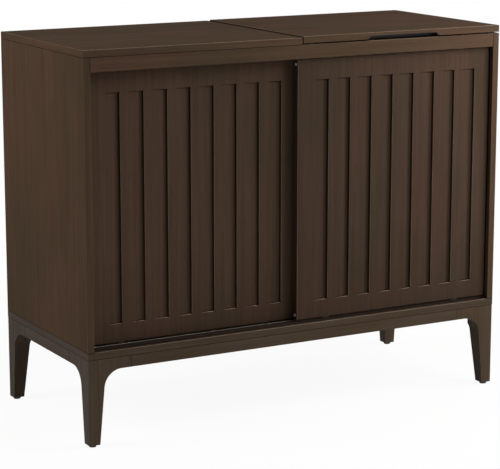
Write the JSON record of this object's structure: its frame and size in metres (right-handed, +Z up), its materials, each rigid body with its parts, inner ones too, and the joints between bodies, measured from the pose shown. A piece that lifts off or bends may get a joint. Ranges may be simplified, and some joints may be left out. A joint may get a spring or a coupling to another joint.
{
  "type": "media console",
  "caption": "Dark wood media console on tapered legs, with fluted sliding doors on twin tracks and a lift-up lid with a finger pull over a turntable well.",
  "frame": {"origin": "on the floor, at the middle of the footprint", "axes": "+X to the right as seen from the front, +Y from the doors to the back, +Z up"},
  "size_m": [1.016, 0.432, 0.8285],
  "materials": {
    "dark_wood": "dark espresso stain under satin lacquer",
    "plain_wood": "bare softwood",
    "hardboard": "dark faced hardboard",
    "black_plastic": "satin black",
    "brown_plastic": "half-matt dark brown",
    "black_glide": "matt black",
    "white_nylon": "plain nylon",
    "steel": "zinc plated",
    "zinc": "cast zinc",
    "clear_rubber": "clear, slightly milky",
    "black_rubber": "matt black"
  },
  "bodies": {
    "cabinet": {"left_side_panel": "dark_wood", "right_side_panel": "dark_wood", "bottom_panel": "dark_wood", "fixed_top": "dark_wood", "front_header": "dark_wood", "track_stretcher": "dark_wood", "lid_hinge_rail": "dark_wood", "turntable_deck": "dark_wood", "adjustable_shelf": "dark_wood", "centre_divider": "dark_wood", "shelf_pins": "steel", "left_back_panel": "hardboard", "right_back_panel": "hardboard", "back_panel_screws": "steel", "carcass_dowels": "plain_wood", "cam_locks": "zinc", "front_left_leg": "dark_wood", "front_right_leg": "dark_wood", "rear_left_leg": "dark_wood", "rear_right_leg": "dark_wood", "front_apron": "dark_wood", "rear_apron": "dark_wood", "left_apron": "dark_wood", "right_apron": "dark_wood", "apron_dowels": "plain_wood", "corner_blocks": "plain_wood", "leg_bolts": "steel", "base_screws": "steel", "foot_glides": "black_glide", "bottom_track": "brown_plastic", "top_track": "brown_plastic", "bottom_track_screws": "steel", "top_track_screws": "steel", "hinge_cabinet_leaves": "steel", "hinge_pins": "steel", "hinge_cabinet_screws": "steel"},
    "left_door": {"left_door_panel": "dark_wood", "left_door_roller_housings": "black_plastic", "left_door_roller_axles": "steel", "left_door_top_guides": "white_nylon", "left_door_bumpers": "clear_rubber"},
    "left_door_left_wheel": {"left_door_left_wheel": "white_nylon"},
    "left_door_right_wheel": {"left_door_right_wheel": "white_nylon"},
    "right_door": {"right_door_panel": "dark_wood", "right_door_roller_housings": "black_plastic", "right_door_roller_axles": "steel", "right_door_top_guides": "white_nylon", "right_door_bumpers": "clear_rubber"},
    "right_door_left_wheel": {"right_door_left_wheel": "white_nylon"},
    "right_door_right_wheel": {"right_door_right_wheel": "white_nylon"},
    "lid": {"lid_panel": "dark_wood", "lid_pull": "black_plastic", "lid_rest_pads": "black_rubber", "hinge_lid_leaves": "steel", "hinge_lid_screws": "steel"}
  },
  "joints": [
    {"name": "left_door_slide", "type": "slide", "parent": "cabinet", "child": "left_door", "axis": [1, 0, 0], "range_m": [0, 0.486]},
    {"name": "right_door_slide", "type": "slide", "parent": "cabinet", "child": "right_door", "axis": [1, 0, 0], "range_m": [-0.486, 0]},
    {"name": "lid_hinge", "type": "hinge", "parent": "cabinet", "child": "lid", "pos_m": [0.2545, 0.2115, 0.81225], "axis": [-1, 0, 0], "range_deg": [0, 85]},
    {"name": "left_door_left_wheel_turn", "type": "hinge", "parent": "left_door", "child": "left_door_left_wheel", "pos_m": [-0.413, -0.176, 0.2153], "axis": [0, 1, 0], "range_deg": [-10, 2800]},
    {"name": "left_door_right_wheel_turn", "type": "hinge", "parent": "left_door", "child": "left_door_right_wheel", "pos_m": [-0.073, -0.176, 0.2153], "axis": [0, 1, 0], "range_deg": [-10, 2800]},
    {"name": "right_door_left_wheel_turn", "type": "hinge", "parent": "right_door", "child": "right_door_left_wheel", "pos_m": [0.073, -0.196, 0.2153], "axis": [0, 1, 0], "range_deg": [-2800, 10]},
    {"name": "right_door_right_wheel_turn", "type": "hinge", "parent": "right_door", "child": "right_door_right_wheel", "pos_m": [0.413, -0.196, 0.2153], "axis": [0, 1, 0], "range_deg": [-2800, 10]}
  ],
  "couplings": [
    {"joint": "left_door_left_wheel_turn", "follows": "left_door_slide", "rad_per_m": 100},
    {"joint": "left_door_right_wheel_turn", "follows": "left_door_slide", "rad_per_m": 100},
    {"joint": "right_door_left_wheel_turn", "follows": "right_door_slide", "rad_per_m": 100},
    {"joint": "right_door_right_wheel_turn", "follows": "right_door_slide", "rad_per_m": 100}
  ]
}
